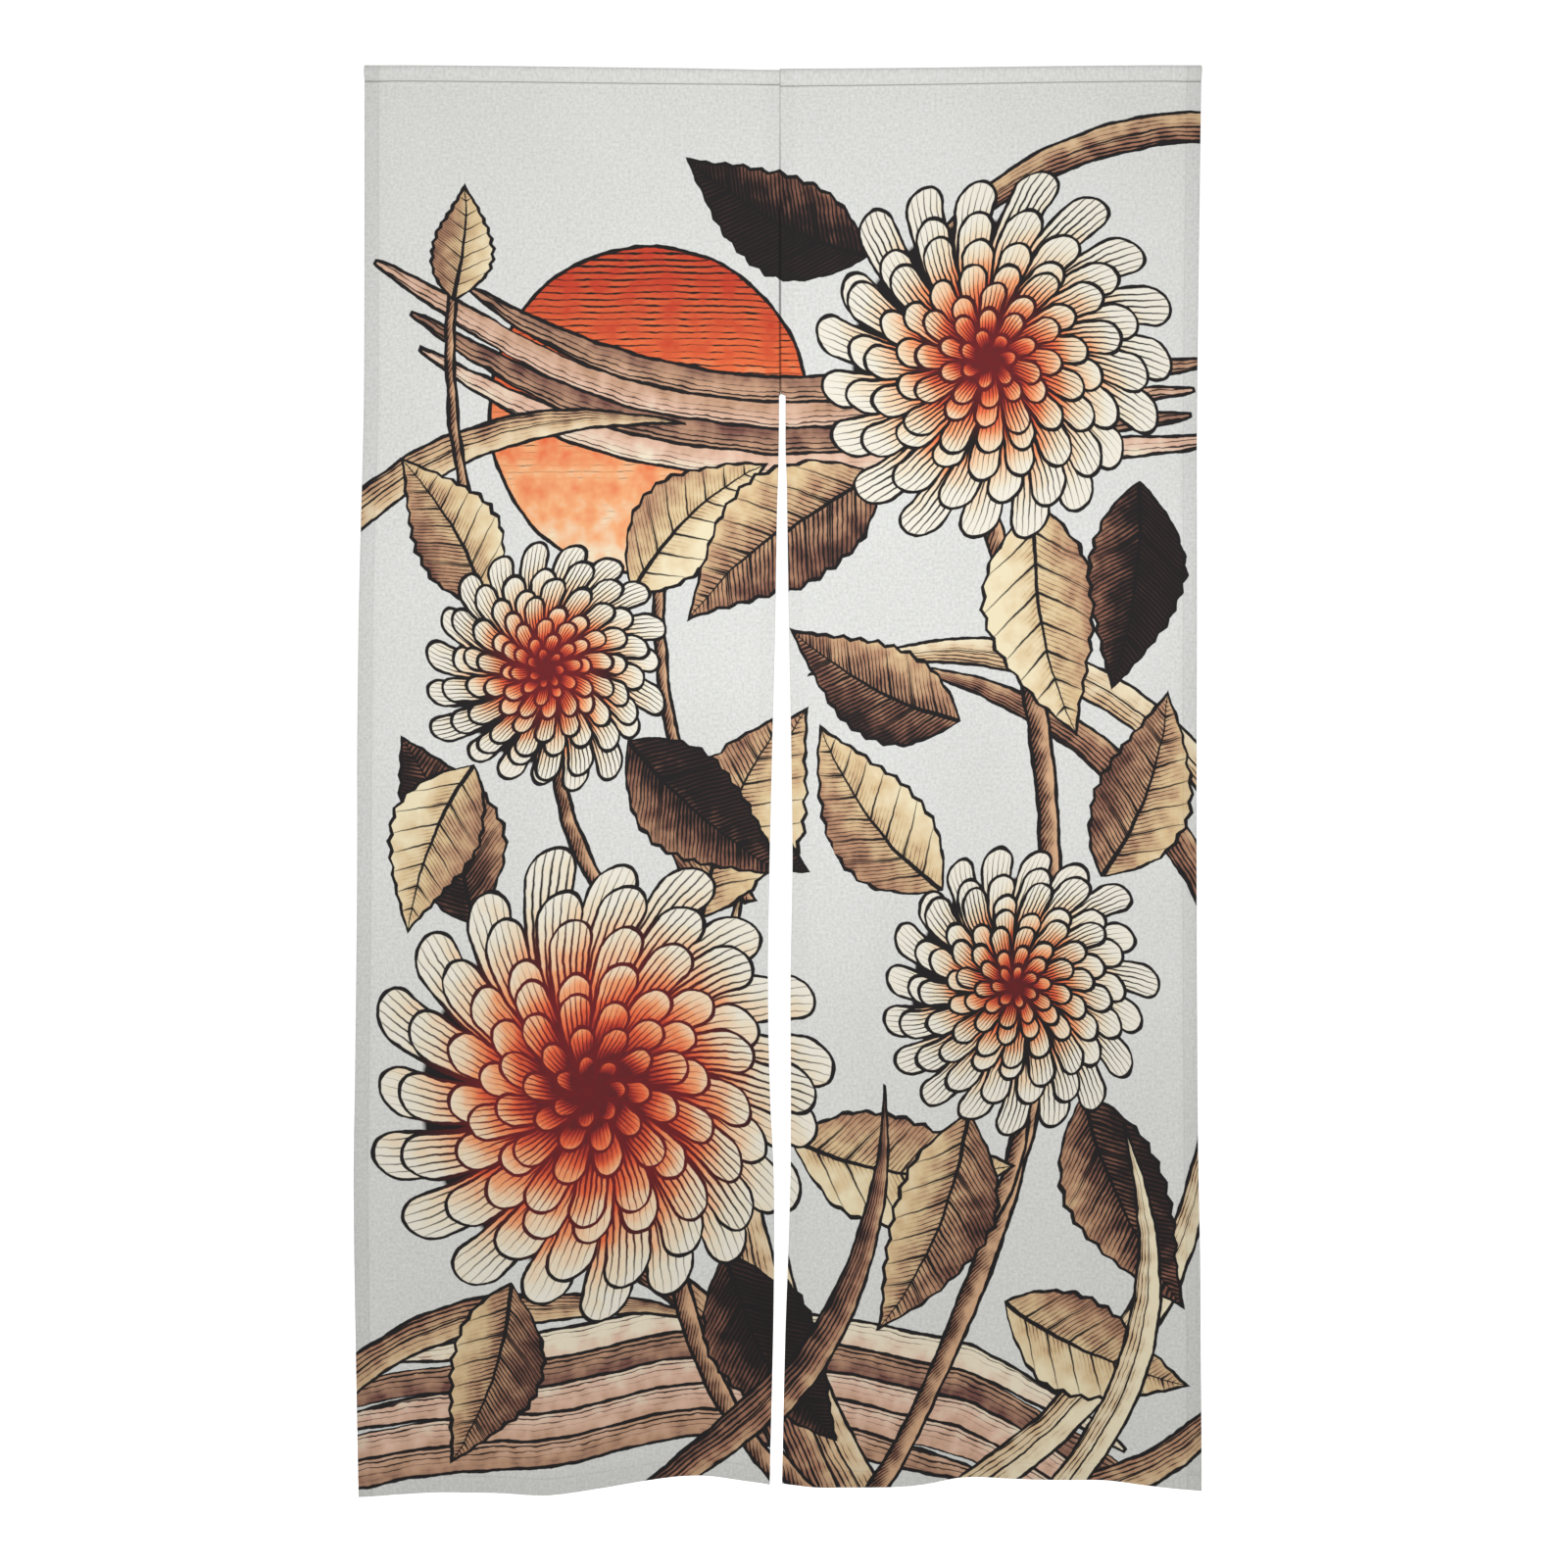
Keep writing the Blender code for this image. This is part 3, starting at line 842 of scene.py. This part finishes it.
linenLook = {
    "shades": [(0.18, (0.55, 0.552, 0.52)), (0.5, (0.665, 0.669, 0.635)), (0.82, (0.77, 0.775, 0.74))],
    "mottle": (330, 0.72),  # each noise's scale, and its share of the shade
    "cloud": (7, 0.16),
    "weft": (90, 900, 0),
    "warp": (1000, 110, 0),
    "yarn": 0.2,
    "darker": 0.14,
    "threadPitch": 0.00095,
    "showThrough": 0.22,  # how much of the print shows on the back
    "hemShadeTone": 0.905,  # painted shade: the hems' double cloth lets less light through from behind, so it looks a little darker
    "bottomHem": 0.5,  # the bottom hem's share of that
    "slitHem": 0.25,  # and the hems along the slit
    "foldShadeTone": 0.975,  # painted shade: the outer folds turn away from the light, so they are darker again
    "foldWidth": 0.004,
    "creaseTone": 0.38,  # shadow in the sleeve's crease
    "creaseWidth": 0.0014,
    "ridgeHighlight": 1.045,  # painted highlight on the lift of the cloth below it
    "ridge": (0.003, 0.0012, 0.0016),  # its distance, half width and soft change
    "hemCrease": 0.16,  # the blind hems' share of that shadow
    "seamCrease": (0.35, 0.65),  # and the seam's top, which is pressed flatter, and how much more below
    "seamHalf": (0.0009, 0.0005),
    "seamDrop": (0.05, 0.175),  # the drops between which those two change
}


def linen():
    net, look = Net(bpy.data.materials.new("Printed linen")), linenLook
    flat = net.node("UVMap", {"uv_map": "flatCloth"})
    (mottleScale, mottled), (cloudScale, clouded) = look["mottle"], look["cloud"]
    mottle = net.noise(flat, mottleScale)
    cloud = net.noise(flat, cloudScale)
    weft = net.noise(net.vector("MULTIPLY", flat, look["weft"]), 1, 1.0)
    warp = net.noise(net.vector("MULTIPLY", flat, look["warp"]), 1, 1.0)
    yarn = weft + warp
    tone = net.scaled(mottle, mottled, yarn * look["yarn"])
    ground = ramp(look["shades"], tone + cloud * clouded - look["darker"])
    colour = printedColour(ground, flat)
    across, down, _ = net.split(flat)
    fromSeam = abs(across)
    fromOuter = abs(cloth["width"] - fromSeam)
    fromTop = abs(abs(down) - sleeve["height"])
    fromBottom = abs(cloth["length"] + down)
    # painted shade over the hems, whose double cloth lets less light through
    hem = net.under(fromOuter, cloth["sideHem"], 0.001)
    hem = net.most(hem, net.under(fromBottom, cloth["bottomHem"], 0.001) * look["bottomHem"])
    hem = net.most(hem, net.under(fromSeam, cloth["sideHem"], 0.001) * look["slitHem"])
    hemLine = net.math("MINIMUM", abs(fromOuter - cloth["sideHem"]), abs(fromBottom - cloth["bottomHem"]))
    half = look["creaseWidth"] / 2
    reach = net.scaled(mottle, half * 1.6, half * 0.2)
    blind = net.under(hemLine, reach, half) * look["hemCrease"]
    creased = net.most(net.under(fromTop, reach, half), blind)
    high, low = look["seamDrop"]
    lower = net.scaled(down, 1 / (high - low), high / (high - low), clamp=True)
    half, more = look["seamHalf"]
    seam = net.under(fromSeam, net.scaled(lower, more, half), half)
    seam = seam * net.under(0 - down, cloth["seamEnd"], 0.002)
    deep, more = look["seamCrease"]
    creased = net.most(creased, seam * net.scaled(lower, more, deep))
    # painted shade along the rounded outer folds
    folded = net.under(fromOuter, look["foldWidth"], look["foldWidth"])
    # painted highlight where the cloth lifts below the sleeve's crease
    ridgeDrop, ridgeHalf, ridgeSoft = look["ridge"]
    ridge = net.under(abs(down + sleeve["height"] + ridgeDrop), ridgeHalf, ridgeSoft)
    shaded = net.scaled(creased, look["creaseTone"] - 1, 1)
    for share, tone in ((hem, "hemShadeTone"), (folded, "foldShadeTone"), (ridge, "ridgeHighlight")):
        shaded = shaded * net.scaled(share, look[tone] - 1, 1)
    pitch = math.pi / look["threadPitch"]
    weave = net.math("SINE", across * pitch) * net.math("SINE", down * pitch)
    underside = net.node("Attribute", {"attribute_name": "underside"}, output=2)
    faded = net.mixColour(look["showThrough"], ground, colour)
    colour = net.mixColour(underside, colour, faded)
    colour = net.node("VectorMath", {"operation": "SCALE"}, {"Vector": colour, "Scale": shaded})
    height = net.scaled(mottle, 1.2, weave * 0.45) + yarn * 0.7
    normal = net.node("Bump", None, {"Strength": 0.55, "Distance": 0.00025, "Height": height})
    net.finish({"Base Color": colour, "Normal": normal, "Roughness": 0.88, "Specular IOR Level": 0.22,
                "Sheen Weight": 0.15, "Sheen Roughness": 0.5})
    print("printed linen:", len(net.tree.nodes), "nodes")
    return net.owner


# ---- the stitches

thread = {
    "thickness": 0.00045,
    "stitch": 0.0027,
    "pitch": 0.0031,
    "proud": 0.0004,  # middle of the thread, above the middle of the cloth
    "colour": (0.44, 0.432, 0.41),
    "shades": (0.72, 1.2),  # how far its twist goes below and above that
    "tackWidth": 0.0042,  # the tack across the top of the slit
    "tackStitches": 6,
    "whipSlant": 50,  # degrees, of the stitches behind the seam
    "rowEnd": 0.002,  # the sleeve's rows stop this far from the side folds
}
Row = namedtuple("Row", "fromA fromB toA toB proud")


def straightStitches(count, pitch, stitch, slant=0.0):  # a row along x, before it is laid on the cloth
    bm = bmesh.new()
    bmesh.ops.create_icosphere(bm, subdivisions=1, radius=0.5)
    bmesh.ops.scale(bm, verts=bm.verts, vec=(stitch, thread["thickness"], thread["thickness"]))
    bmesh.ops.rotate(bm, verts=bm.verts, cent=(0, 0, 0), matrix=Matrix.Rotation(slant, 3, "Z"))
    obj = placed("row", meshOf("row", bm))
    array = obj.modifiers.new("Repeat", "ARRAY")
    array.count = count
    array.use_relative_offset = False
    array.use_constant_offset = True
    array.constant_offset_displace = (pitch, 0, 0)
    return modified(obj)


def layStitches(name, sewn, surface, material):
    # sewn: flat mesh rows, in the surface's own two numbers and how proud of it they stand
    bm = bmesh.new()
    for row in sewn:
        bm.from_mesh(row)
    flat = np.array([vert.co for vert in bm.verts])
    for vert, place in zip(bm.verts, surface(flat[:, 0], flat[:, 1], flat[:, 2])):
        vert.co = place
    bmesh.ops.recalc_face_normals(bm, faces=bm.faces)
    mesh = meshOf(name, bm)
    mesh.materials.append(material)
    mesh.shade_smooth()
    piece = placed(name, mesh)
    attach(piece, "root")
    print(name, len(mesh.polygons), "faces")
    return piece


def hemStitches(panel, material):
    width, length, side = cloth["width"], cloth["length"], cloth["sideHem"]
    bottom, top, end, proud = cloth["bottomHem"], sleeve["height"], thread["rowEnd"], thread["proud"]
    table = [Row(end, top, width - end, top, proud), Row(end, -top, width - end, -top, proud),
             Row(side, length + bottom, width - side, length + bottom, -proud)]
    for back in (-side, width + side):  # the hems are sewn blind, so only the back shows their thread
        table.append(Row(back, top, back, length - bottom, -proud))
    sewn = []
    for row in table:
        run = abs(row.toA - row.fromA) + abs(row.toB - row.fromB)
        count = int(run / thread["pitch"])
        mesh = straightStitches(count, run / count, thread["stitch"])
        turn = Matrix.Rotation(math.pi / 2 if row.toB > row.fromB else 0, 4, "Z")
        mesh.transform(Matrix.Translation((row.fromA, row.fromB, row.proud)) @ turn)
        sewn.append(mesh)
    return layStitches(panel.side + "Stitches", sewn, partial(clothPoints, panel), material)


def seamSurface(across, b, proud):  # along the centre seam, where the two panels meet
    middle = (hungSurface(panels[0], np.full_like(b, cloth["width"]), b)
              + hungSurface(panels[1], np.zeros_like(b), b)) / 2
    middle[:, 0] += across
    middle[:, 1] -= proud
    return middle


def seamStitches(material):
    down = Matrix.Rotation(math.pi / 2, 4, "Z")
    length = cloth["seamEnd"] - sleeve["height"]
    count = int(length / thread["pitch"])
    whip = straightStitches(count, length / count, thread["stitch"], math.radians(thread["whipSlant"]))
    behind = cloth["layer"] + thread["proud"]
    whip.transform(Matrix.Translation((0, sleeve["height"], -behind)) @ down)
    tack = straightStitches(thread["tackStitches"], thread["thickness"], thread["tackWidth"], math.pi / 2)
    top = cloth["seamEnd"] - thread["tackStitches"] * thread["thickness"]
    tack.transform(Matrix.Translation((0, top, thread["proud"] / 2)) @ down)
    return layStitches("seamStitches", [whip, tack], seamSurface, material)


def sewingThread():
    net = Net(bpy.data.materials.new("Sewing thread"))
    place = net.node("TexCoord", output=3)
    uneven = net.node("TexNoise", None, {"Vector": place, "Scale": 420, "Detail": 1.0})
    shades = [[part * shade for part in thread["colour"]] for shade in thread["shades"]]
    colour = net.mixColour(uneven, *shades)
    twist = net.node("TexWave", {"bands_direction": "DIAGONAL"}, {"Vector": place, "Scale": 900})
    normal = net.node("Bump", None, {"Strength": 0.4, "Distance": 0.0001, "Height": twist})
    return net.finish({"Base Color": colour, "Normal": normal, "Roughness": 0.75})


# ---- stage, light and camera

stage = {
    "floorDrop": 0.62,  # the floor, below the bottom hem
    "floorSize": 14.0,
    "floorColour": (0.86, 0.86, 0.86, 1),
    "floorGlow": 0.6,  # lifts it to the backdrop's white, for the camera only
    "air": 0.62,
    "backdrop": 1.05,  # strength of the air, as the camera sees it
}
camera = {"distance": 2.58, "middleX": 0.0015, "middleZ": -0.7121, "seen": 1.576}
Lamp = namedtuple("Lamp", "name x y z size watts colour")
lamps = [
    Lamp("Key", 0.05, -0.9, -0.45, 0.7, 5.3, (0.98, 0.99, 1.03)),
    Lamp("Side", -1.9, -1.6, 0.4, 1.0, 4.7, (1, 1, 1)),
    Lamp("Behind", 0.0, 3.0, 1.6, 2.4, 40, (1, 1, 1)),
]


def buildStage():
    bm = bmesh.new()
    bmesh.ops.create_grid(bm, x_segments=2, y_segments=2, size=stage["floorSize"] / 2)
    bmesh.ops.translate(bm, verts=bm.verts, vec=(0, 0, topOfEnds - levels[-1].drop - stage["floorDrop"]))
    mesh = meshOf("Floor", bm)
    floor = placed("Floor", mesh)
    paint = Net(bpy.data.materials.new("Pale floor"))
    seen = paint.mixColour(paint.node("LightPath"), (0, 0, 0), (1, 1, 1))
    mesh.materials.append(paint.finish({
        "Base Color": stage["floorColour"], "Roughness": 0.9, "Emission Color": seen,
        "Emission Strength": stage["floorGlow"]}))
    air = Net(bpy.data.worlds.new("Studio"), "Background")
    strengths = {"Value": air.node("LightPath"), "To Min": stage["air"], "To Max": stage["backdrop"]}
    strength = air.node("MapRange", None, strengths)
    bpy.context.scene.world = air.finish({"Color": (1, 1, 1, 1), "Strength": strength})
    for lamp in lamps:
        light = bpy.data.lights.new(lamp.name, "AREA")
        light.shape, light.size, light.energy = "DISK", lamp.size, lamp.watts
        light.color = lamp.colour
        obj = placed(lamp.name, light)
        obj.location = (lamp.x, lamp.y, lamp.z)
        aim = Vector((lamp.x / 2, 0, lamp.z if lamp.name == "Key" else camera["middleZ"]))
        obj.rotation_euler = (aim - obj.location).to_track_quat("-Z", "Y").to_euler()
        obj.visible_camera = False
    lens = bpy.data.cameras.new("Camera")
    lens.lens = lens.sensor_width * camera["distance"] / camera["seen"]
    eye = placed("Camera", lens)
    eye.location = (camera["middleX"], -camera["distance"], camera["middleZ"])
    eye.rotation_euler = (math.pi / 2, 0, 0)
    bpy.context.scene.camera = eye
    bpy.context.scene.view_settings.view_transform = "Standard"
    print("stage, lamps and camera are in place")


buildStage()
printed, sewing = linen(), sewingThread()
seam = seamStitches(sewing)
for panel in panels:
    piece = buildCloth(panel, printed)
    sewn = [hemStitches(panel, sewing)] + [seam] * (panel.side == "left")
